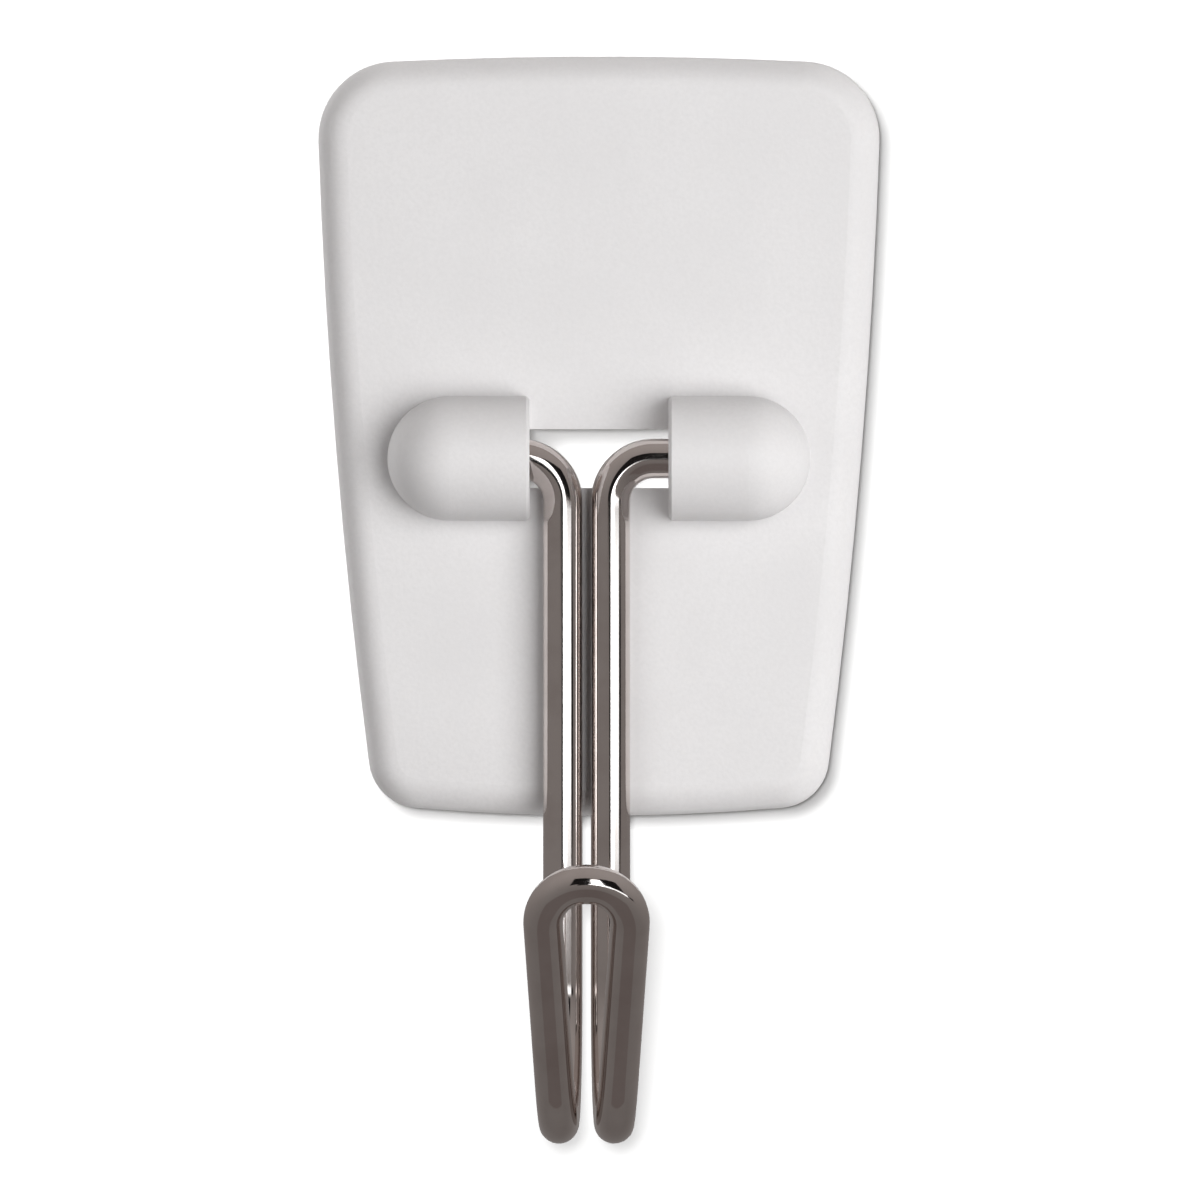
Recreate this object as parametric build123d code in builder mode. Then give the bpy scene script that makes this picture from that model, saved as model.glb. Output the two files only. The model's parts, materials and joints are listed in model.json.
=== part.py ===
from build123d import *
import os
from math import atan2, cos, radians, tan

# A stick-on wall hook: a tapered plastic plate, a wire bail that swings in two
# bosses on its face, and a foam adhesive pad on its back. Millimetres, +Z up.
# The wall is the plane Y = 0 and the hook faces -Y. The origin lies on the wall,
# behind the middle of the plate. Sketches on Plane.XZ read as seen from the
# front, and their normal points away from the wall.

# Back plate
plate_height = 29.0
plate_top_width = 21.6
plate_mid_width = 20.16
plate_bottom_width = 17.15
plate_thickness = 2.0
top_crown = 0.36
bottom_crown = 0.45
top_corner_radius = 2.95
bottom_corner_radius = 1.95
front_edge_radius = 1.1
back_edge_chamfer = 0.25

# Bosses that carry the wire, and the window between them
boss_diameter = 4.74
boss_gap = 5.3
boss_side_margin = 2.01
boss_end_wall = 1.77
boss_rim_chamfer = 0.12
pivot_drop = 0.86
window_height = 2.25

# Wire: two legs with an arm at each top, a hook that turns forward in a wide
# bend and up in a tighter one, and a loop at the tip
wire_diameter = 1.5
wire_end_chamfer = 0.2
leg_gap = 0.32
hook_drop = 26.05
hook_bend_radius = 5.05
hook_flat = 0.2
foot_bend_radius = 3.0
foot_gap = 0.7
tip_rise = 10.65
tip_spread = 3.5
tip_flat = 0.1
tip_lean = 25.0

# Fits between the wire and the moulding
rest_gap = 0.1
seat_clearance = 0.08
snap_grip = 0.2
mouth_flare = 0.25
bend_entry = 0.375
side_shift = 0.47
arm_end_play = 0.3

# Adhesive pad
pad_thickness = 1.0
pad_inset = 1.6
pad_corner_radius = 1.2
pad_slot_margin = 0.5

os.makedirs("parts", exist_ok=True)

# Places that follow from the sizes, measured from the wall and the plate's middle
wire_radius = wire_diameter / 2
half_height = plate_height / 2
plate_face = pad_thickness + plate_thickness
pivot_depth = plate_face + rest_gap + wire_radius
pivot_z = -pivot_drop
boss_radius = boss_diameter / 2
boss_inner = boss_gap / 2
boss_outer = plate_mid_width / 2 - boss_side_margin
boss_shoulder = boss_outer - boss_radius
socket_reach = boss_outer - boss_end_wall
seat_radius = wire_radius + seat_clearance
throat_width = wire_diameter - snap_grip
back_plane = Plane.XZ.offset(pad_thickness)
pivot_plane = Plane.XZ.offset(pivot_depth)
pivot_axis = Axis((0, -pivot_depth, pivot_z), (1, 0, 0))

# Outline of the plate: four bowed edges, with rounded corners
with BuildSketch() as plate_outline:
    with BuildLine():
        top_right = (plate_top_width / 2, half_height - top_crown)
        bottom_right = (plate_bottom_width / 2, bottom_crown - half_height)
        right_side = ThreePointArc(bottom_right, (plate_mid_width / 2, 0), top_right)
        mirror(right_side, about=Plane.YZ)
        ThreePointArc(top_right, (0, half_height), (-top_right[0], top_right[1]))
        ThreePointArc(bottom_right, (0, -half_height), (-bottom_right[0], bottom_right[1]))
    make_face()
    fillet(plate_outline.vertices().group_by(Axis.Y)[-1], top_corner_radius)
    fillet(plate_outline.vertices().group_by(Axis.Y)[0], bottom_corner_radius)

# Outline of the right boss: a flat inner end with a chamfered rim, and a round outer end
with BuildSketch() as boss_outline:
    with Locations((boss_shoulder, pivot_z)):
        Circle(boss_radius)
    with Locations((boss_inner, pivot_z)):
        Rectangle(boss_shoulder - boss_inner, boss_diameter, align=(Align.MIN, Align.CENTER))
    chamfer(boss_outline.vertices().group_by(Axis.X)[0], boss_rim_chamfer)

# Back plate, with its bosses, window and snap-in sockets
with BuildPart() as back_plate:
    with BuildSketch(back_plane):
        add(plate_outline.sketch)
    extrude(amount=plate_thickness)
    rims = back_plate.edges().group_by(Axis.Y)
    fillet(rims[0], front_edge_radius)
    chamfer(rims[-1], back_edge_chamfer)

    # Bosses: straight walls up to the pivot, and a domed half-round top
    with BuildSketch(back_plane):
        add(boss_outline.sketch)
        mirror(about=Plane.YZ)
    extrude(amount=pivot_depth - pad_thickness)
    with BuildSketch(pivot_plane):
        add(boss_outline.sketch)
        with Locations((boss_inner, pivot_z)):
            Rectangle(boss_outer, boss_radius, align=(Align.MIN, Align.MIN), mode=Mode.INTERSECT)
        mirror(about=Plane.YZ)
    revolve(axis=pivot_axis)

    # Window between the bosses, flush with their inner ends
    with BuildSketch(back_plane):
        with Locations((0, pivot_z)):
            Rectangle(boss_gap, window_height)
    extrude(amount=plate_thickness, mode=Mode.SUBTRACT)

    # Sockets: a round seat with a flared mouth, and a narrower throat to the back
    with BuildSketch(pivot_plane):
        with BuildLine():
            Polyline(
                (boss_inner, pivot_z),
                (boss_inner, pivot_z + seat_radius + mouth_flare),
                (boss_inner + mouth_flare, pivot_z + seat_radius),
                (socket_reach, pivot_z + seat_radius),
                (socket_reach, pivot_z),
                close=True,
            )
        make_face()
        mirror(about=Plane.YZ)
    revolve(axis=pivot_axis, mode=Mode.SUBTRACT)
    with BuildSketch(back_plane):
        with Locations((0, pivot_z)):
            Rectangle(2 * socket_reach, throat_width)
    extrude(amount=pivot_depth - pad_thickness, mode=Mode.SUBTRACT)
back_plate.part.label = "back_plate"
export_step(back_plate.part, "parts/back_plate.step")

# Corners of one half of the wire's centre line, from the arm's end to the tip
leg_x = (wire_diameter + leg_gap) / 2
foot_x = (wire_diameter + foot_gap) / 2
tip_x = tip_spread / 2
arm_reach = socket_reach - side_shift - arm_end_play
bottom_z = pivot_z - hook_drop + wire_radius
tip_z = pivot_z - hook_drop + tip_rise - wire_radius
lean = radians(tip_lean)
front_turn = radians(90) - lean
foot_tangent = foot_bend_radius * tan(front_turn / 2)
front_depth = pivot_depth + hook_bend_radius + hook_flat + foot_tangent
tip_depth = front_depth + (tip_z - bottom_z) * tan(lean)
half_route = [
    (arm_reach, -pivot_depth, pivot_z),
    (leg_x, -pivot_depth, pivot_z),
    (leg_x, -pivot_depth, bottom_z),
    (foot_x, -front_depth, bottom_z),
    (tip_x, -tip_depth, tip_z),
]

# Bends at those corners: the arm's fits the gap between the bosses, and the
# tip's fills the spread of the front legs, which lean out and splay apart
arm_bend_radius = boss_inner + bend_entry - side_shift - leg_x
splay = atan2(tip_x - foot_x, (tip_z - bottom_z) / cos(lean))
tip_bend_radius = (tip_x - tip_flat / 2) / tan((radians(90) + splay) / 2)
half_bends = [arm_bend_radius, hook_bend_radius, foot_bend_radius, tip_bend_radius]

# Wire hook: one bent wire, pushed to one side by its play in the sockets
route = [(x - side_shift, y, z) for x, y, z in half_route]
route += [(-x - side_shift, y, z) for x, y, z in reversed(half_route)]
with BuildPart() as wire_hook:
    with BuildLine() as wire_line:
        FilletPolyline(*route, radius=half_bends + half_bends[::-1])
    with BuildSketch(wire_line.line ^ 0):
        Circle(wire_radius)
    sweep()
    arm_ends = wire_hook.faces().filter_by(Axis.X)
    chamfer(arm_ends.edges(), wire_end_chamfer)
wire_hook.part.label = "wire_hook"
export_step(wire_hook.part, "parts/wire_hook.step")

# Adhesive pad: foam tape inside the plate's outline, clear of the socket slot
with BuildPart() as adhesive_pad:
    with BuildSketch(Plane.XZ):
        with BuildLine():
            pad_top = (plate_top_width / 2 - pad_inset, half_height - pad_inset)
            pad_bottom = (plate_bottom_width / 2 - pad_inset, pad_inset - half_height)
            pad_side = ThreePointArc(pad_bottom, (plate_mid_width / 2 - pad_inset, 0), pad_top)
            mirror(pad_side, about=Plane.YZ)
            Line(pad_top, (-pad_top[0], pad_top[1]))
            Line(pad_bottom, (-pad_bottom[0], pad_bottom[1]))
        make_face()
        fillet(vertices(), pad_corner_radius)
        with Locations((0, pivot_z)):
            slot_length = 2 * (socket_reach + pad_slot_margin)
            slot_height = window_height + 2 * pad_slot_margin
            SlotOverall(slot_length, slot_height, mode=Mode.SUBTRACT)
    extrude(amount=pad_thickness)
adhesive_pad.part.label = "adhesive_pad"
export_step(adhesive_pad.part, "parts/adhesive_pad.step")
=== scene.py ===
"""A stick-on wall hook in a small photo studio: white moulding, plated wire and foam pad."""
import json
import logging
from collections.abc import Callable, Iterator
from contextlib import contextmanager
from dataclasses import dataclass, field
from enum import Enum
from math import atan2, cos, pi, radians, sin, tan

import bmesh
import bpy
from mathutils import Matrix, Vector


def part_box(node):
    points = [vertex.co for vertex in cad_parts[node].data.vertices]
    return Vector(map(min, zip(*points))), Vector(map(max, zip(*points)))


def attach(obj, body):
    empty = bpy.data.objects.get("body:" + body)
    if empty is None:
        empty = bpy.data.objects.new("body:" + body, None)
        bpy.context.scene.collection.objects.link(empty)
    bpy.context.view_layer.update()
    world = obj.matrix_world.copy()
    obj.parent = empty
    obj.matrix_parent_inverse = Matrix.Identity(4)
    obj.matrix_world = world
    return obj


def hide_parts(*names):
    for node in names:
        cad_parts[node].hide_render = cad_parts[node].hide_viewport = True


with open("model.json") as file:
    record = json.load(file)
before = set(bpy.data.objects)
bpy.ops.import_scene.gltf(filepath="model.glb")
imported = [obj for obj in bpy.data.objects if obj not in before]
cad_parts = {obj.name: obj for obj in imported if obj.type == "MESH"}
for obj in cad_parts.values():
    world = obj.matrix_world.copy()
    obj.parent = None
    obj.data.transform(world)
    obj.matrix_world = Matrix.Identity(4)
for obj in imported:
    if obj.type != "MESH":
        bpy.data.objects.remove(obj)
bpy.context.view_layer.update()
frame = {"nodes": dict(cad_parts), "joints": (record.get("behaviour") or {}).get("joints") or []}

MM = 0.001
NEAR = 0.01 * MM
DOUBLED = 0.001 * MM
UPRIGHT = radians(90)
PIVOT = Vector(frame["joints"][0]["pos_m"])
LOG = logging.getLogger("adhesive_hook")

Color = tuple[float, float, float]
Place = tuple[float, float, float]
Span = tuple[float, float]
Socket = bpy.types.NodeSocket


class Body(str, Enum):
    """The two bodies of the hook."""

    BASE = "base"
    HOOK = "hook"


class Slot(str, Enum):
    """Names of the record's material slots for the wire and the foam, which the script doesn't use."""

    WIRE = "plated_wire"
    FOAM = "foam_tape"


class Node(str, Enum):
    """The CAD nodes of the hook."""

    PLATE = "back_plate"
    WIRE = "wire_hook"
    PAD = "adhesive_pad"


class Piece(str, Enum):
    """The pieces of the dressed hook."""

    PLATE = "back_plate"
    WIRE = "bent_wire"
    PAD = "foam_pad"


class Ray(str, Enum):
    """The kinds of light ray that a studio surface tells apart."""

    CAMERA = "Is Camera Ray"
    GLOSSY = "Is Glossy Ray"
    TRANSMISSION = "Is Transmission Ray"


def deselect_all() -> None:
    """Leaves no object selected, the CAD nodes among them."""
    bpy.ops.object.select_all(action="DESELECT")


def pick(piece: bpy.types.Object) -> None:
    """Makes a piece the only selected object, and the active one.

    Args:
        piece: The object to pick.
    """
    deselect_all()
    piece.select_set(True)
    bpy.context.view_layer.objects.active = piece


def apply_place(piece: bpy.types.Object) -> None:
    """Moves a piece's place, turn and size into its mesh."""
    pick(piece)
    bpy.ops.object.transform_apply(location=True, rotation=True, scale=True)


def smooth(piece: bpy.types.Object, angle: float) -> None:
    """Shades a piece smooth over edges that turn by less than an angle."""
    pick(piece)
    bpy.ops.object.shade_smooth_by_angle(angle=angle)


@contextmanager
def editing(piece: bpy.types.Object, kind: str = "VERT") -> Iterator[None]:
    """Opens a piece in edit mode with nothing selected, and closes it again.

    Args:
        piece: The mesh object to edit.
        kind: The select mode, VERT, EDGE or FACE.

    Yields:
        Nothing, while the piece is open.
    """
    pick(piece)
    bpy.ops.object.mode_set(mode="EDIT")
    bpy.ops.mesh.select_mode(type=kind)
    bpy.ops.mesh.select_all(action="DESELECT")
    try:
        yield
    finally:
        bpy.ops.object.mode_set(mode="OBJECT")


def select_verts(piece: bpy.types.Object, wanted: Callable[[Vector], bool]) -> None:
    """Selects the vertices of a piece in edit mode by their place.

    Args:
        piece: The mesh object that is open in edit mode.
        wanted: Tells whether a place belongs to the selection.
    """
    bpy.ops.mesh.select_all(action="DESELECT")
    mesh = bmesh.from_edit_mesh(piece.data)
    for vert in mesh.verts:
        vert.select = wanted(vert.co)
    mesh.select_flush(True)
    bmesh.update_edit_mesh(piece.data)


def select_edges(piece: bpy.types.Object, wanted: Callable[[Vector], bool]) -> None:
    """Selects the edges of a piece in edit mode by their direction and length.

    Args:
        piece: The mesh object that is open in edit mode.
        wanted: Tells whether the way from an edge's one end to the other belongs to the selection.
    """
    bpy.ops.mesh.select_all(action="DESELECT")
    mesh = bmesh.from_edit_mesh(piece.data)
    for edge in mesh.edges:
        edge.select = wanted(edge.verts[1].co - edge.verts[0].co)
    bmesh.update_edit_mesh(piece.data)


def apply_modifier(piece: bpy.types.Object, kind: str, **settings: object) -> None:
    """Adds a modifier to a piece, sets it and applies it.

    Args:
        piece: The mesh object.
        kind: The modifier's type, such as BEVEL.
        **settings: The modifier's properties by name.
    """
    pick(piece)
    modifier = piece.modifiers.new(kind.title(), kind)
    for name, value in settings.items():
        setattr(modifier, name, value)
    bpy.ops.object.modifier_apply(modifier=modifier.name)


def close_up(piece: bpy.types.Object) -> None:
    """Merges doubled vertices and turns every face outwards.

    Args:
        piece: The mesh object.
    """
    with editing(piece):
        bpy.ops.mesh.select_all(action="SELECT")
        bpy.ops.mesh.remove_doubles(threshold=DOUBLED)
        bpy.ops.mesh.normals_make_consistent(inside=False)


class Shader:
    """A node tree under construction, with one short call per node."""

    def __init__(self, tree: bpy.types.NodeTree) -> None:
        """Empties the tree."""
        self.tree = tree
        self.tree.nodes.clear()

    def node(
        self, kind: str, links: dict[str | int, object] | None = None, **settings: object,
    ) -> bpy.types.Node:
        """Adds a node.

        Args:
            kind: The node's type name.
            links: For each input, by name or number, a source socket or a plain value.
            **settings: The node's properties by name.

        Returns:
            The new node.
        """
        made = self.tree.nodes.new(kind)
        for name, value in settings.items():
            setattr(made, name, value)
        for name, source in (links or {}).items():
            if isinstance(source, Socket):
                self.tree.links.new(source, made.inputs[name])
            else:
                made.inputs[name].default_value = source
        return made

    def place(self) -> Socket:
        """The coordinates of the object itself, in metres."""
        return self.node("ShaderNodeTexCoord").outputs["Object"]

    def noise(self, where: Socket, size: float, detail: float = 2.0) -> Socket:
        """The grey value of a noise whose spots are about that size, in metres."""
        links = {"Vector": where, "Scale": 1 / size, "Detail": detail}
        return self.node("ShaderNodeTexNoise", links).outputs["Fac"]

    def spread(self, value: Socket, span: Span) -> Socket:
        """A value from nought to one, mapped to a span."""
        links = {"Value": value, "To Min": span[0], "To Max": span[1]}
        return self.node("ShaderNodeMapRange", links).outputs["Result"]

    def ramp(self, value: Socket, stops: dict[float, Color]) -> Socket:
        """A colour ramp over a value.

        Args:
            value: The value that is looked up.
            stops: A colour for each position from nought to one.

        Returns:
            The colour socket.
        """
        made = self.node("ShaderNodeValToRGB", {"Fac": value})
        elements = made.color_ramp.elements
        while len(elements) > 1:
            elements.remove(elements[-1])
        for number, (position, color) in enumerate(sorted(stops.items())):
            element = elements[0] if number == 0 else elements.new(position)
            element.position = position
            element.color = (*color, 1.0)
        return made.outputs["Color"]

    def fade(self, value: Socket, span: Span, first: Color, last: Color) -> Socket:
        """A colour that fades from the first to the last as a value crosses a span."""
        return self.ramp(value, {span[0]: first, span[1]: last})

    def bump(self, height: Socket, depth: float, under: Socket | None = None) -> Socket:
        """A bumped normal.

        Args:
            height: The height from nought to one.
            depth: What a height of one stands for, in metres.
            under: A normal to add the bump to.

        Returns:
            The normal socket.
        """
        links = {"Height": height, "Distance": depth, "Strength": 1.0}
        if under is not None:
            links["Normal"] = under
        return self.node("ShaderNodeBump", links).outputs["Normal"]

    def any_ray(self, first: Ray, *others: Ray) -> Socket:
        """One for a ray of any of the named kinds, and nought for all other rays.

        Args:
            first: A kind of ray.
            *others: More kinds.

        Returns:
            The value socket.
        """
        rays = self.node("ShaderNodeLightPath").outputs
        found = rays[first.value]
        for ray in others:
            links = {0: found, 1: rays[ray.value]}
            found = self.node("ShaderNodeMath", links, operation="MAXIMUM").outputs["Value"]
        return found

    def mix(self, share: Socket | float, first: Socket, second: Socket) -> Socket:
        """A surface that holds a share of the second surface, and the rest of the first."""
        return self.node("ShaderNodeMixShader", {0: share, 1: first, 2: second}).outputs["Shader"]

    def end(self, surface: Socket) -> None:
        """Ends a material's tree in a surface."""
        self.node("ShaderNodeOutputMaterial", {"Surface": surface})

    def finish(self, links: dict[str | int, object]) -> None:
        """Ends a material's tree in a principled surface."""
        self.end(self.node("ShaderNodeBsdfPrincipled", links).outputs["BSDF"])


def new_material(name: str) -> tuple[bpy.types.Material, Shader]:
    """Makes an empty node material.

    Args:
        name: The material's name.

    Returns:
        The material and the shader to fill it with.
    """
    material = bpy.data.materials.new(name)
    material.use_nodes = True
    return material, Shader(material.node_tree)


@dataclass(frozen=True)
class MouldedPlastic:
    """White plastic with the fine spark-eroded grain of its mould."""

    dull: Color = (0.775, 0.765, 0.768)
    pale: Color = (0.815, 0.805, 0.808)
    tone_span: Span = (0.3, 0.62)
    tone_lift: float = 0.22
    roughness: Span = (0.38, 0.5)
    grain_size: float = 0.16 * MM
    grain_depth: float = 0.006 * MM
    cloud_size: float = 4.0 * MM
    cloud_depth: float = 0.02 * MM
    cloud_detail: float = 3.0
    refraction: float = 1.46
    scatter: float = 0.12
    scatter_color: Color = (1.0, 0.95, 0.9)
    scatter_depth: float = 0.35 * MM

    def make(self) -> bpy.types.Material:
        """Builds the material.

        Returns:
            The white plastic.
        """
        material, shader = new_material("moulded_white_plastic")
        where = shader.place()
        cloud = shader.noise(where, self.cloud_size, self.cloud_detail)
        grain = shader.noise(where, self.grain_size)
        links = {0: cloud, 1: grain, 2: self.tone_lift}
        tone = shader.node("ShaderNodeMath", links, operation="MULTIPLY_ADD").outputs["Value"]
        shader.finish({
            "Base Color": shader.fade(tone, self.tone_span, self.dull, self.pale),
            "Roughness": shader.spread(grain, self.roughness),
            "IOR": self.refraction,
            "Subsurface Weight": self.scatter,
            "Subsurface Radius": self.scatter_color,
            "Subsurface Scale": self.scatter_depth,
            "Normal": shader.bump(grain, self.grain_depth, shader.bump(cloud, self.cloud_depth)),
        })
        return material


@dataclass(frozen=True)
class PlatedWire:
    """Bright nickel plating over drawn steel, with faint marks along the wire."""

    dull: Color = (0.64, 0.58, 0.555)
    bright: Color = (0.70, 0.645, 0.62)
    tone_span: Span = (0.3, 0.6)
    roughness: Span = (0.05, 0.12)
    mark_size: float = 0.09 * MM
    mark_stretch: float = 0.04
    mark_depth: float = 0.0003 * MM
    blotch_size: float = 1.4 * MM
    blotch_detail: float = 3.0
    coordinate: str = "unbent"

    def make(self) -> bpy.types.Material:
        """Builds the material.

        Returns:
            The plated metal, which reads the wire's own unbent coordinates.
        """
        material, shader = new_material("nickel_plated_wire")
        unbent = shader.node("ShaderNodeAttribute", attribute_name=self.coordinate).outputs["Vector"]
        links = {"Vector": unbent, "Scale": (1.0, 1.0, self.mark_stretch)}
        drawn = shader.node("ShaderNodeMapping", links).outputs["Vector"]
        marks = shader.noise(drawn, self.mark_size)
        blotches = shader.noise(unbent, self.blotch_size, self.blotch_detail)
        shader.finish({
            "Base Color": shader.fade(blotches, self.tone_span, self.dull, self.bright),
            "Metallic": 1.0,
            "Roughness": shader.spread(marks, self.roughness),
            "Normal": shader.bump(marks, self.mark_depth),
        })
        return material


@dataclass(frozen=True)
class FoamTape:
    """White closed-cell foam, with a skin of clear adhesive on its flat faces, and painted shade in
    the open cells of its cut sides.
    """

    pale: Color = (0.86, 0.855, 0.84)
    # Painted shade: the colour of the open cells' pits on the cut sides.
    painted_dark: Color = (0.70, 0.69, 0.665)
    film: Color = (0.80, 0.795, 0.775)
    cell_span: Span = (0.05, 0.5)
    film_span: Span = (0.3, 0.6)
    cut_to_film_roughness: Span = (0.85, 0.38)
    cell_size: float = 0.22 * MM
    cell_depth: float = 0.05 * MM
    ripple_size: float = 1.6 * MM
    ripple_depth: float = 0.04 * MM

    def make(self) -> bpy.types.Material:
        """Builds the material.

        Returns:
            The foam, with open cells on the cut sides, whose pits are painted darker as shade, and
            film on the faces.
        """
        material, shader = new_material("foam_tape")
        where = shader.place()
        facing = shader.node("ShaderNodeNewGeometry").outputs["Normal"]
        depth = shader.node("ShaderNodeSeparateXYZ", {"Vector": facing}).outputs["Y"]
        flat = shader.node("ShaderNodeMath", {0: depth}, operation="ABSOLUTE").outputs["Value"]
        cells = shader.node("ShaderNodeTexVoronoi", {"Vector": where, "Scale": 1 / self.cell_size})
        distance_from_pit = cells.outputs["Distance"]
        ripple = shader.noise(where, self.ripple_size)
        # Painted shade: the cut sides darken towards the middle of each open cell, where its pit is.
        cut = shader.fade(distance_from_pit, self.cell_span, self.painted_dark, self.pale)
        film = shader.fade(ripple, self.film_span, self.film, self.pale)
        color = shader.node("ShaderNodeMix", {"Factor": flat, "A": cut, "B": film}, data_type="RGBA")
        shader.finish({
            "Base Color": color.outputs["Result"],
            "Roughness": shader.spread(flat, self.cut_to_film_roughness),
            "Normal": shader.bump(distance_from_pit, self.cell_depth, shader.bump(ripple, self.ripple_depth)),
        })
        return material


@dataclass
class BackPlate:
    """The white moulding: plate, bosses, window and sockets, as the CAD made it."""

    finish: MouldedPlastic = field(default_factory=MouldedPlastic)

    def dress(self) -> bpy.types.Object:
        """Gives the CAD node its plastic.

        Returns:
            The node's object.
        """
        plate = frame["nodes"][Node.PLATE.value]
        plate.material_slots[0].material = self.finish.make()
        return plate


@dataclass
class WireHook:
    """One bent wire: two arms in the sockets, two legs, the hook bends and the tip's loop."""

    finish: PlatedWire = field(default_factory=PlatedWire)
    leg_gap: float = 0.32 * MM
    foot_gap: float = 0.7 * MM
    tip_spread: float = 3.5 * MM
    tip_rise: float = 10.65 * MM
    tip_flat: float = 0.1 * MM
    tip_lean: float = radians(25)
    arm_bend: float = 1.645 * MM
    hook_bend: float = 5.05 * MM
    hook_flat: float = 0.2 * MM
    foot_bend: float = 3.0 * MM
    end_chamfer: float = 0.2 * MM
    chamfer_cuts: int = 3
    end_ring: float = 0.3 * MM
    ring_count: int = 48
    bend_step: float = radians(5)
    smooth_angle: float = radians(35)

    def __post_init__(self) -> None:
        """Takes the wire's thickness and reach from the frame."""
        self.low, self.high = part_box(Node.WIRE.value)
        self.radius = self.high.z - PIVOT.z
        self.middle = (self.low.x + self.high.x) / 2

    def corners(self) -> list[Vector]:
        """The corners of the wire's centre line.

        Returns:
            The route from the right arm's end over the tip to the left arm's end.
        """
        leg_x = self.leg_gap / 2 + self.radius
        foot_x = self.foot_gap / 2 + self.radius
        bottom = self.low.z + self.radius
        tip = self.low.z + self.tip_rise - self.radius
        foot_tangent = self.foot_bend * tan((pi / 2 - self.tip_lean) / 2)
        foot_y = PIVOT.y - self.hook_bend - self.hook_flat - foot_tangent
        tip_y = foot_y - (tip - bottom) * tan(self.tip_lean)
        half = [
            (self.high.x - self.middle, PIVOT.y, PIVOT.z),
            (leg_x, PIVOT.y, PIVOT.z),
            (leg_x, PIVOT.y, bottom),
            (foot_x, foot_y, bottom),
            (self.tip_spread / 2, tip_y, tip),
        ]
        right = [Vector((self.middle + x, y, z)) for x, y, z in half]
        left = [Vector((self.middle - x, y, z)) for x, y, z in reversed(half)]
        return right + left

    def bends(self, corners: list[Vector]) -> list[float]:
        """The bend radius at each inner corner of the route.

        Args:
            corners: The corners of the wire's centre line.

        Returns:
            The radii in the order of the route, where the tip's loop fills its spread.
        """
        foot, tip = corners[3], corners[4]
        splay = atan2(foot.x - tip.x, (foot - tip).length)
        tip_bend = (self.tip_spread - self.tip_flat) / 2 / tan((pi / 2 - splay) / 2)
        half = [self.arm_bend, self.hook_bend, self.foot_bend, tip_bend]
        return half + half[::-1]

    def build(self) -> bpy.types.Object:
        """Models the wire from one ring that is taken along the route.

        Returns:
            The wire's object.
        """
        corners = self.corners()
        heading = (corners[1] - corners[0]).normalized()
        deselect_all()
        bpy.ops.mesh.primitive_circle_add(
            vertices=self.ring_count, radius=self.radius, location=corners[0],
            rotation=heading.to_track_quat("Z", "Y").to_euler())
        wire = bpy.context.object
        wire.name = Piece.WIRE.value
        apply_place(wire)
        with editing(wire):
            bpy.ops.mesh.select_all(action="SELECT")
            lengths = self.follow(corners)
        self.mark_unbent(wire, lengths)
        self.cap_ends(wire, corners)
        close_up(wire)
        smooth(wire, self.smooth_angle)
        return wire

    def follow(self, corners: list[Vector]) -> list[float]:
        """Takes the selected ring along the route, with a straight run and a spun bend at each corner.

        Args:
            corners: The corners of the wire's centre line.

        Returns:
            The length along the wire at each ring.
        """
        lengths = [0.0]
        place = corners[0]
        bends = self.bends(corners)
        for before, corner, after, bend in zip(corners, corners[1:], corners[2:], bends):
            heading = (corner - before).normalized()
            leaving = (after - corner).normalized()
            turn = heading.angle(leaving)
            run = corner - heading * bend * tan(turn / 2) - place
            self.extrude_run(run, lengths)
            place = place + run
            axis = heading.cross(leaving).normalized()
            centre = place + axis.cross(heading) * bend
            steps = round(turn / self.bend_step)
            bpy.ops.mesh.spin(steps=steps, angle=-turn, center=centre, axis=axis)
            lengths += [lengths[-1] + bend * turn / steps * (step + 1) for step in range(steps)]
            place = centre + Matrix.Rotation(turn, 3, axis) @ (place - centre)
        self.extrude_run(corners[-1] - place, lengths)
        return lengths

    def extrude_run(self, run: Vector, lengths: list[float]) -> None:
        """Extrudes the open end straight on, with a ring near each end of the run.

        These rings keep the shading of the bends out of the run. A run that is too short for them
        is cut in thirds.

        Args:
            run: The way from the open end to the next bend.
            lengths: The length along the wire at each ring, which grows by the new rings.
        """
        margin = min(self.end_ring, run.length / 3)
        heading = run.normalized()
        for part in (margin, run.length - 2 * margin, margin):
            bpy.ops.mesh.extrude_region_move(TRANSFORM_OT_translate={"value": heading * part})
            lengths.append(lengths[-1] + part)

    def mark_unbent(self, wire: bpy.types.Object, lengths: list[float]) -> None:
        """Stores on each vertex where it lay before the wire was bent.

        Args:
            wire: The open tube, whose vertices lie ring after ring.
            lengths: The length along the wire at each ring.
        """
        unbent = wire.data.attributes.new(self.finish.coordinate, "FLOAT_VECTOR", "POINT")
        for number in range(len(wire.data.vertices)):
            ring, place = divmod(number, self.ring_count)
            angle = 2 * pi * place / self.ring_count
            across, up = self.radius * cos(angle), self.radius * sin(angle)
            unbent.data[number].vector = (across, up, lengths[ring])

    def cap_ends(self, wire: bpy.types.Object, corners: list[Vector]) -> None:
        """Closes the arms' ends with a face and a chamfer each.

        Args:
            wire: The open tube.
            corners: The corners of the wire's centre line, which starts and stops at the arms' ends.
        """
        for end in (corners[0], corners[-1]):
            with editing(wire, "EDGE"):
                select_verts(wire, lambda place: abs(place.x - end.x) < NEAR)
                bpy.ops.mesh.edge_face_add()
                bpy.ops.mesh.bevel(
                    offset=self.end_chamfer, segments=self.chamfer_cuts, affect="EDGES")

    def dress(self, wire: bpy.types.Object) -> bpy.types.Object:
        """Plates the wire and hangs it on the swinging body.

        Args:
            wire: The wire's object.

        Returns:
            The same object.
        """
        wire.data.materials.append(self.finish.make())
        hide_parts(Node.WIRE.value)
        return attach(wire, Body.HOOK.value)


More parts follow.
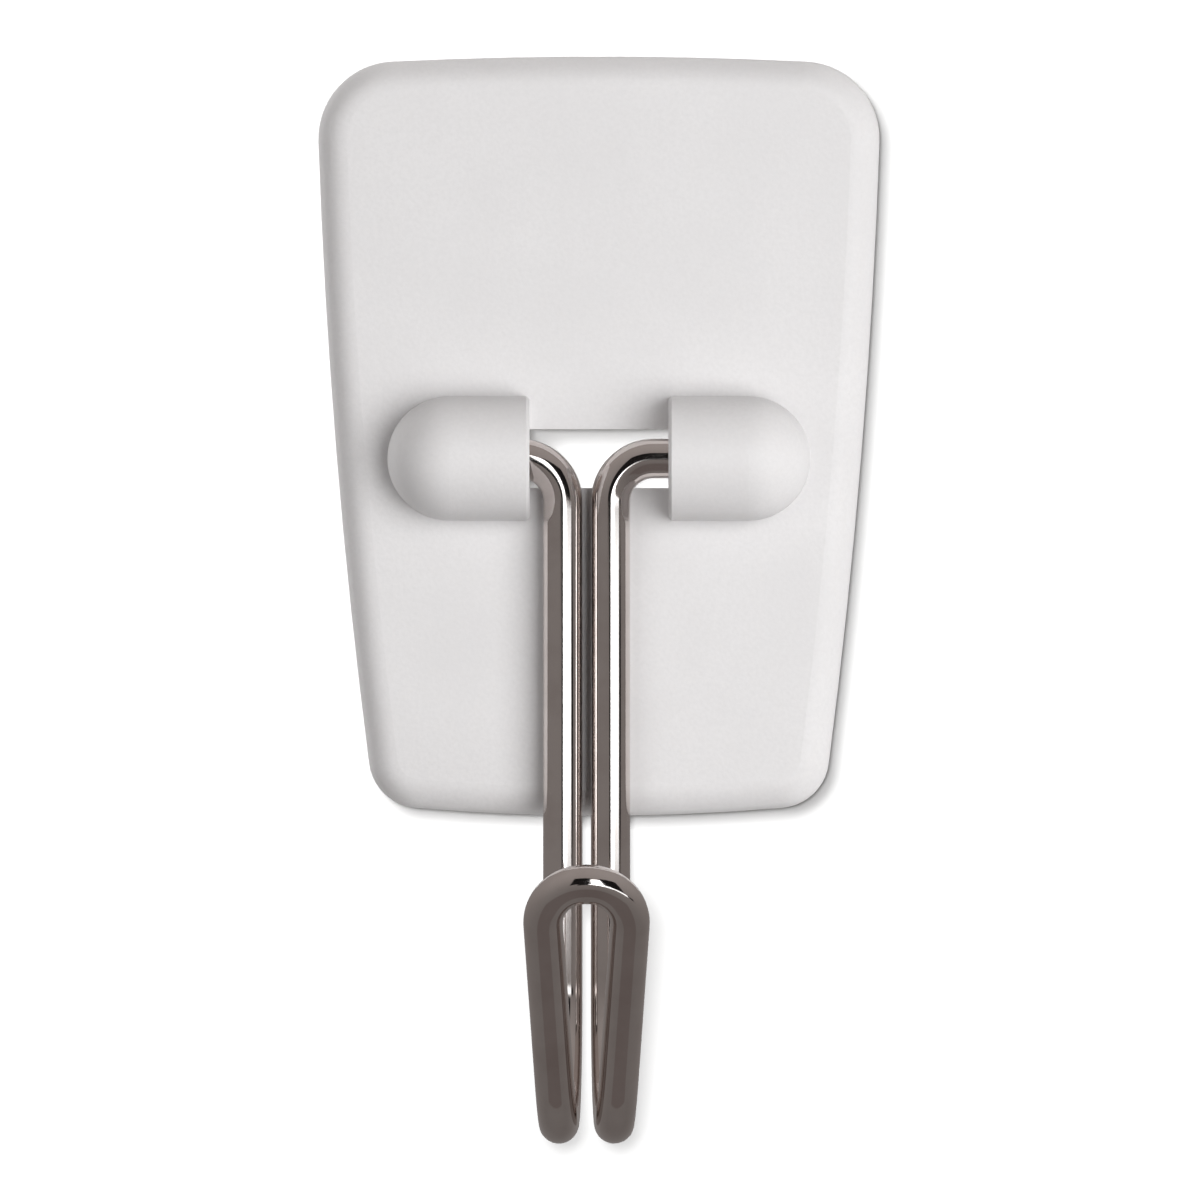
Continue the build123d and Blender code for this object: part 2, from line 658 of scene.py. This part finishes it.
@dataclass
class AdhesivePad:
    """The die-cut foam pad behind the plate, with a slot clear of the sockets."""

    finish: FoamTape = field(default_factory=FoamTape)
    top_width: float = 18.4 * MM
    mid_width: float = 16.96 * MM
    bottom_width: float = 13.95 * MM
    corner_radius: float = 1.2 * MM
    corner_cuts: int = 8
    side_cuts: int = 24
    slot_length: float = 13.6 * MM
    slot_height: float = 3.25 * MM
    slot_rounding: float = 0.499
    slot_cuts: int = 14
    edge_softness: float = 0.1 * MM
    edge_cuts: int = 3
    crease_angle: float = radians(40)
    side_pinch: float = 0.07 * MM
    fill: float = 0.9

    def __post_init__(self) -> None:
        """Takes the pad's place and thickness from the frame."""
        low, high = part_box(Node.PAD.value)
        self.middle = (low + high) / 2
        self.half_height = (high.z - low.z) / 2
        self.thickness = high.y - low.y
        self.wall = high.y

    def bow(self, height: float) -> float:
        """How much the bowed sides widen the pad.

        Args:
            height: The height above the pad's middle.

        Returns:
            The pad's width at that height, over the width that straight sides would give.
        """
        share = height / self.half_height
        mean = (self.top_width + self.bottom_width) / 2
        straight = mean + (self.top_width - self.bottom_width) / 2 * share
        return 1 + (self.mid_width - mean) * (1 - share ** 2) / straight

    def build(self) -> bpy.types.Object:
        """Models the pad from a plane: round corners, bowed sides, a slot and soft edges.

        Returns:
            The pad's object.
        """
        deselect_all()
        wall_side = (0, self.wall, self.middle.z)
        bpy.ops.mesh.primitive_plane_add(size=2, location=wall_side, rotation=(UPRIGHT, 0, 0))
        pad = bpy.context.object
        pad.name = Piece.PAD.value
        pad.scale = (self.top_width / 2, self.half_height, 1.0)
        apply_place(pad)
        self.shape_outline(pad)
        with editing(pad, "FACE"):
            bpy.ops.mesh.select_all(action="SELECT")
            bpy.ops.mesh.extrude_region_move(TRANSFORM_OT_translate={"value": (0, -self.thickness, 0)})
        close_up(pad)
        self.cut_slot(pad)
        self.pinch_sides(pad)
        apply_modifier(
            pad, "BEVEL", width=self.edge_softness, segments=self.edge_cuts,
            angle_limit=self.crease_angle)
        close_up(pad)
        smooth(pad, self.crease_angle)
        return pad

    def shape_outline(self, pad: bpy.types.Object) -> None:
        """Tapers the flat pad, rounds its corners and bows its sides.

        Args:
            pad: The pad as a flat rectangle.
        """
        with editing(pad):
            select_verts(pad, lambda place: place.z < self.middle.z)
            bpy.ops.transform.resize(value=(self.bottom_width / self.top_width, 1, 1))
            bpy.ops.mesh.select_all(action="SELECT")
            bpy.ops.mesh.bevel(
                offset=self.corner_radius, segments=self.corner_cuts, affect="VERTICES")
            select_edges(pad, lambda way: abs(way.z) > self.half_height)
            bpy.ops.mesh.subdivide(number_cuts=self.side_cuts)
            mesh = bmesh.from_edit_mesh(pad.data)
            for vert in mesh.verts:
                vert.co.x *= self.bow(vert.co.z - self.middle.z)
            bmesh.update_edit_mesh(pad.data)

    def cut_slot(self, pad: bpy.types.Object) -> None:
        """Cuts the round-ended slot that leaves the sockets free.

        Args:
            pad: The closed pad.
        """
        deselect_all()
        bpy.ops.mesh.primitive_cube_add(size=1, location=(0, self.middle.y, PIVOT.z))
        cutter = bpy.context.object
        through = 3 * self.thickness
        cutter.scale = (self.slot_length, through, self.slot_height)
        apply_place(cutter)
        with editing(cutter, "EDGE"):
            select_edges(cutter, lambda way: abs(way.y) > self.thickness)
            bpy.ops.mesh.bevel(
                offset=self.slot_rounding * self.slot_height, segments=self.slot_cuts, affect="EDGES")
        apply_modifier(pad, "BOOLEAN", object=cutter, operation="DIFFERENCE", solver="EXACT")
        bpy.data.objects.remove(cutter)

    def pinch_sides(self, pad: bpy.types.Object) -> None:
        """Draws the cut sides in a little at half thickness, as a die leaves foam.

        Args:
            pad: The pad with its slot.
        """
        with editing(pad):
            bpy.ops.mesh.select_all(action="SELECT")
            bpy.ops.mesh.bisect(plane_co=self.middle, plane_no=(0, 1, 0))
            select_verts(pad, lambda place: abs(place.y - self.middle.y) < NEAR)
            bpy.ops.transform.shrink_fatten(value=-self.side_pinch)

    def dress(self, pad: bpy.types.Object) -> bpy.types.Object:
        """Gives the pad its foam and sticks it to the base.

        Args:
            pad: The pad's object.

        Returns:
            The same object.
        """
        pad.data.materials.append(self.finish.make())
        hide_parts(Node.PAD.value)
        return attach(pad, Body.BASE.value)


@dataclass(frozen=True)
class StudioPaper:
    """Pale paper, which may also glow white to the camera and in reflections."""

    name: str
    glow: float = 0.0
    cover: float = 1.0
    albedo: float = 0.85

    def make(self) -> bpy.types.Material:
        """Builds the material.

        Returns:
            The paper, which is see-through from behind.
        """
        material, shader = new_material(self.name)
        seen = shader.any_ray(Ray.CAMERA, Ray.GLOSSY, Ray.TRANSMISSION)
        behind = shader.node("ShaderNodeNewGeometry").outputs["Backfacing"]
        grey = (self.albedo, self.albedo, self.albedo, 1.0)
        matt = shader.node("ShaderNodeBsdfDiffuse", {"Color": grey}).outputs["BSDF"]
        light = shader.node("ShaderNodeEmission", {"Strength": self.glow}).outputs["Emission"]
        white = shader.node("ShaderNodeAddShader", {0: matt, 1: light}).outputs["Shader"]
        clear = shader.node("ShaderNodeBsdfTransparent").outputs["BSDF"]
        front = shader.mix(self.cover, clear, shader.mix(seen, matt, white))
        shader.end(shader.mix(behind, front, clear))
        return material


# Distances from the hook in metres. Strips hang before the flags, and flags before the panels.
STRIP_DISTANCE = 0.235
FLAG_DISTANCE = 0.24
PANEL_DISTANCE = 0.25
RIM_DISTANCE = 0.3
SHADE_DISTANCE = 1.0


@dataclass(frozen=True)
class Patch:
    """A part of the studio round the hook, by its limits in degrees, and how far off it is."""

    left: float
    right: float
    bottom: float
    top: float
    distance: float = PANEL_DISTANCE

    @property
    def width(self) -> float:
        """The width of a flat card that fills the patch, in metres."""
        return 2 * self.distance * tan(radians(self.right - self.left) / 2)

    @property
    def height(self) -> float:
        """The height of a flat card that fills the patch, in metres."""
        return 2 * self.distance * tan(radians(self.top - self.bottom) / 2)

    def settle(self, made: bpy.types.Object, target: Vector) -> None:
        """Puts a lamp or card in the middle of the patch.

        Args:
            made: The lamp or card.
            target: The point that it faces.
        """
        side = radians(self.left + self.right) / 2
        rise = radians(self.bottom + self.top) / 2
        away = Vector((sin(side) * cos(rise), -cos(side) * cos(rise), sin(rise)))
        made.location = target + away * self.distance
        made.rotation_euler = (-away).to_track_quat("-Z", "Y").to_euler()


class Reach(Enum):
    """What a lamp's light shows on."""

    MATT = "matt surfaces of the hook"
    MIRROR = "reflections in the hook"
    PAPER = "the paper behind the hook"


@dataclass(frozen=True)
class Softbox:
    """A flat soft lamp."""

    name: str
    patch: Patch
    radiance: float
    reach: Reach
    color: Color = (1.0, 1.0, 1.0)
    shades: tuple[Piece, ...] = ()

    def place(self, target: Vector, paper: bpy.types.Object) -> None:
        """Puts the lamp in the scene.

        Args:
            target: The point that the lamp faces.
            paper: The paper behind the hook, which only its own lamps light.
        """
        lamp = bpy.data.lights.new(self.name, "AREA")
        lamp.shape = "RECTANGLE"
        lamp.size, lamp.size_y = self.patch.width, self.patch.height
        lamp.energy = self.radiance * pi * lamp.size * lamp.size_y
        lamp.color = self.color
        made = bpy.data.objects.new(self.name, lamp)
        bpy.context.collection.objects.link(made)
        self.patch.settle(made, target)
        made.visible_camera = False
        made.visible_diffuse = self.reach is not Reach.MIRROR
        made.visible_glossy = self.reach is Reach.MIRROR
        self.limit(made, paper)

    def limit(self, made: bpy.types.Object, paper: bpy.types.Object) -> None:
        """Keeps the lamp's light on what it reaches, and its shadows to the pieces that shade it.

        Args:
            made: The lamp's object.
            paper: The paper behind the hook.
        """
        lit = bpy.data.collections.new(f"{self.name}_lit")
        lit.objects.link(paper)
        if self.reach is not Reach.PAPER:
            lit.collection_objects[0].light_linking.link_state = "EXCLUDE"
        made.light_linking.receiver_collection = lit
        if self.shades:
            shading = bpy.data.collections.new(f"{self.name}_shading")
            for piece in self.shades:
                shading.objects.link(bpy.data.objects[piece.value])
            made.light_linking.blocker_collection = shading


@dataclass(frozen=True)
class Flag:
    """A dark card beside a lamp, which only reflections see, so that it paints a dark reflection into
    the wire.
    """

    name: str
    patch: Patch
    painted_dark: Color

    def place(self, target: Vector) -> None:
        """Puts the card in the scene.

        Args:
            target: The point that the card faces.
        """
        deselect_all()
        bpy.ops.mesh.primitive_plane_add(size=1)
        card = bpy.context.object
        card.name = self.name
        card.scale = (self.patch.width, self.patch.height, 1.0)
        self.patch.settle(card, target)
        material, shader = new_material(self.name)
        dark = shader.node("ShaderNodeEmission", {"Color": (*self.painted_dark, 1.0), "Strength": 1.0})
        shader.end(dark.outputs["Emission"])
        card.data.materials.append(material)
        card.visible_camera = card.visible_diffuse = card.visible_shadow = False
        card.visible_transmission = card.visible_volume_scatter = False


COOL: Color = (0.94, 1.0, 1.03)
# Colours of the cards that paint dark reflections into the wire.
BLACK: Color = (0.01, 0.009, 0.009)
BROWN: Color = (0.15, 0.13, 0.125)

# The matt surfaces' lamps: two from the front, and four behind the plate's plane for its rim.
# Then the lamps that the wire mirrors, and those that cast the shadows on the paper.
LAMPS = (
    Softbox("key_softbox", Patch(9, 55, -26, 22), radiance=4.2, reach=Reach.MATT),
    Softbox("fill_softbox", Patch(-46, -16, -22, 22), radiance=1.35, reach=Reach.MATT),
    Softbox("right_softbox", Patch(95, 150, -45, 55, RIM_DISTANCE), radiance=1.0, reach=Reach.MATT),
    Softbox("left_softbox", Patch(-145, -113, -25, 45, RIM_DISTANCE), radiance=3.4, reach=Reach.MATT),
    Softbox("top_softbox", Patch(150, 210, 45, 70, RIM_DISTANCE), radiance=2.4, reach=Reach.MATT),
    Softbox("bottom_softbox", Patch(120, 180, -70, -45, RIM_DISTANCE), radiance=2.1, reach=Reach.MATT),
    Softbox("mirror_panel", Patch(4, 17, -2.8, 26), radiance=3.0, reach=Reach.MIRROR, color=COOL),
    Softbox(
        "mirror_strip", Patch(2, 26, -3.0, 1.0, STRIP_DISTANCE), radiance=3.0, reach=Reach.MIRROR,
        color=COOL),
    Softbox(
        "mirror_tail", Patch(26, 50, -3.0, 1.0, STRIP_DISTANCE), radiance=1.8, reach=Reach.MIRROR,
        color=COOL),
    Softbox(
        "plate_shade", Patch(-14, -2, 2, 14, SHADE_DISTANCE), radiance=115.0, reach=Reach.PAPER,
        shades=(Piece.PLATE, Piece.PAD)),
    Softbox(
        "wire_shade", Patch(-3, 0.2, -0.2, 3, SHADE_DISTANCE), radiance=850.0, reach=Reach.PAPER,
        shades=(Piece.PLATE, Piece.PAD, Piece.WIRE)),
)
FLAGS = (
    Flag("left_flag", Patch(-16, 3.5, 0.8, 33, FLAG_DISTANCE), BLACK),
    Flag("low_flag", Patch(-7, 2, -6, 0.8, FLAG_DISTANCE), BLACK),
    Flag("right_flag", Patch(18, 46, 3, 33, FLAG_DISTANCE), BLACK),
    Flag("end_flag", Patch(51, 64, -2.8, 0.5, FLAG_DISTANCE), BLACK),
    # A brown card low in front, which paints a darker reflection into the wire from below.
    Flag("low_dark_reflection_card", Patch(-30, 30, -78, -30, FLAG_DISTANCE), BROWN),
)


@dataclass
class Studio:
    """Backdrop, floor, paper, lamps, world and camera round the hook."""

    frame_width: float = 45.8 * MM
    lens: float = 1000.0
    sensor: float = 36.0
    clip: Span = (0.01, 10.0)
    aim: Vector = field(default_factory=lambda: Vector((0.04 * MM, -3.0 * MM, -6.26 * MM)))
    backdrop_gap: float = 0.9
    backdrop_size: float = 0.06
    floor_drop: float = 0.4
    floor_size: float = 0.65
    paper_gap: float = 0.2 * MM
    paper_size: float = 0.4
    paper_cover: float = 0.95
    paper_albedo: float = 0.42
    room_light: float = 0.5
    room_tint: Color = (1.0, 0.93, 0.9)
    room_greys: tuple[Span, ...] = (
        (0.0, 0.19), (0.12, 0.18), (0.3, 0.2), (0.5, 0.24), (0.75, 0.33), (1.0, 0.4))

    def build(self) -> None:
        """Sets up the whole studio."""
        self.add_camera()
        self.add_world()
        paper = self.add_grounds()
        for lamp in LAMPS:
            lamp.place(self.aim, paper)
        for flag in FLAGS:
            flag.place(self.aim)
        bpy.context.scene.view_settings.view_transform = "Standard"

    def add_camera(self) -> None:
        """Adds the long-lens camera that looks straight at the plate."""
        lens = bpy.data.cameras.new("photo_camera")
        lens.lens, lens.sensor_width = self.lens, self.sensor
        lens.clip_start, lens.clip_end = self.clip
        camera = bpy.data.objects.new("photo_camera", lens)
        bpy.context.collection.objects.link(camera)
        distance = self.frame_width * self.lens / self.sensor
        camera.location = self.aim - Vector((0, distance, 0))
        camera.rotation_euler = (UPRIGHT, 0, 0)
        bpy.context.scene.camera = camera

    def add_world(self) -> None:
        """Lights the studio with grey walls that brighten towards the ceiling."""
        world = bpy.data.worlds.new("studio_world")
        world.use_nodes = True
        bpy.context.scene.world = world
        shader = Shader(world.node_tree)
        heading = shader.node("ShaderNodeTexCoord").outputs["Generated"]
        rise = shader.node("ShaderNodeSeparateXYZ", {"Vector": heading}).outputs["Z"]
        level = shader.node("ShaderNodeMapRange", {"Value": rise, "From Min": -1.0, "From Max": 1.0})
        stops = {
            height: tuple(grey * part for part in self.room_tint)
            for height, grey in self.room_greys
        }
        color = shader.ramp(level.outputs["Result"], stops)
        strength = shader.spread(shader.any_ray(Ray.GLOSSY), (self.room_light, 1.0))
        room = shader.node("ShaderNodeBackground", {"Color": color, "Strength": strength})
        white = shader.node("ShaderNodeBackground", {"Color": (1.0, 1.0, 1.0, 1.0), "Strength": 1.0})
        seen = shader.any_ray(Ray.CAMERA, Ray.TRANSMISSION)
        shown = shader.mix(seen, room.outputs["Background"], white.outputs["Background"])
        shader.node("ShaderNodeOutputWorld", {"Surface": shown})

    def add_grounds(self) -> bpy.types.Object:
        """Hangs the backdrop, lays the floor and puts the paper right behind the hook.

        Returns:
            The paper, which takes the hook's shadow.
        """
        back = (0, self.backdrop_gap, 0)
        below = (0, self.backdrop_gap - self.floor_size / 2, -self.floor_drop)
        near = (0, self.paper_gap, 0)
        self.add_sheet(StudioPaper("backdrop", glow=1.0), back, self.backdrop_size, UPRIGHT)
        floor = self.add_sheet(StudioPaper("floor"), below, self.floor_size, 0.0)
        floor.visible_glossy = False
        matt = StudioPaper("paper", cover=self.paper_cover, albedo=self.paper_albedo)
        paper = self.add_sheet(matt, near, self.paper_size, UPRIGHT)
        paper.visible_diffuse = paper.visible_glossy = paper.visible_shadow = False
        return paper

    def add_sheet(
        self, paper: StudioPaper, place: Place, size: float, tilt: float,
    ) -> bpy.types.Object:
        """Adds a sheet of studio paper.

        Args:
            paper: The sheet's finish and name.
            place: Its middle.
            size: The length of its sides, in metres.
            tilt: Its turn about X, in radians.

        Returns:
            The sheet's object.
        """
        deselect_all()
        bpy.ops.mesh.primitive_plane_add(size=size, location=place, rotation=(tilt, 0, 0))
        sheet = bpy.context.object
        sheet.name = paper.name
        sheet.data.materials.append(paper.make())
        return sheet


def main() -> None:
    """Builds and dresses the hook's pieces in order, then the studio round them."""
    logging.basicConfig(level=logging.INFO, format="%(name)s: %(message)s")
    pieces = [BackPlate().dress()]
    for maker in (WireHook(), AdhesivePad()):
        pieces.append(maker.dress(maker.build()))
    for piece in pieces:
        LOG.info("%s has %d faces", piece.name, len(piece.data.polygons))
    Studio().build()


if __name__ == "__main__":
    main()
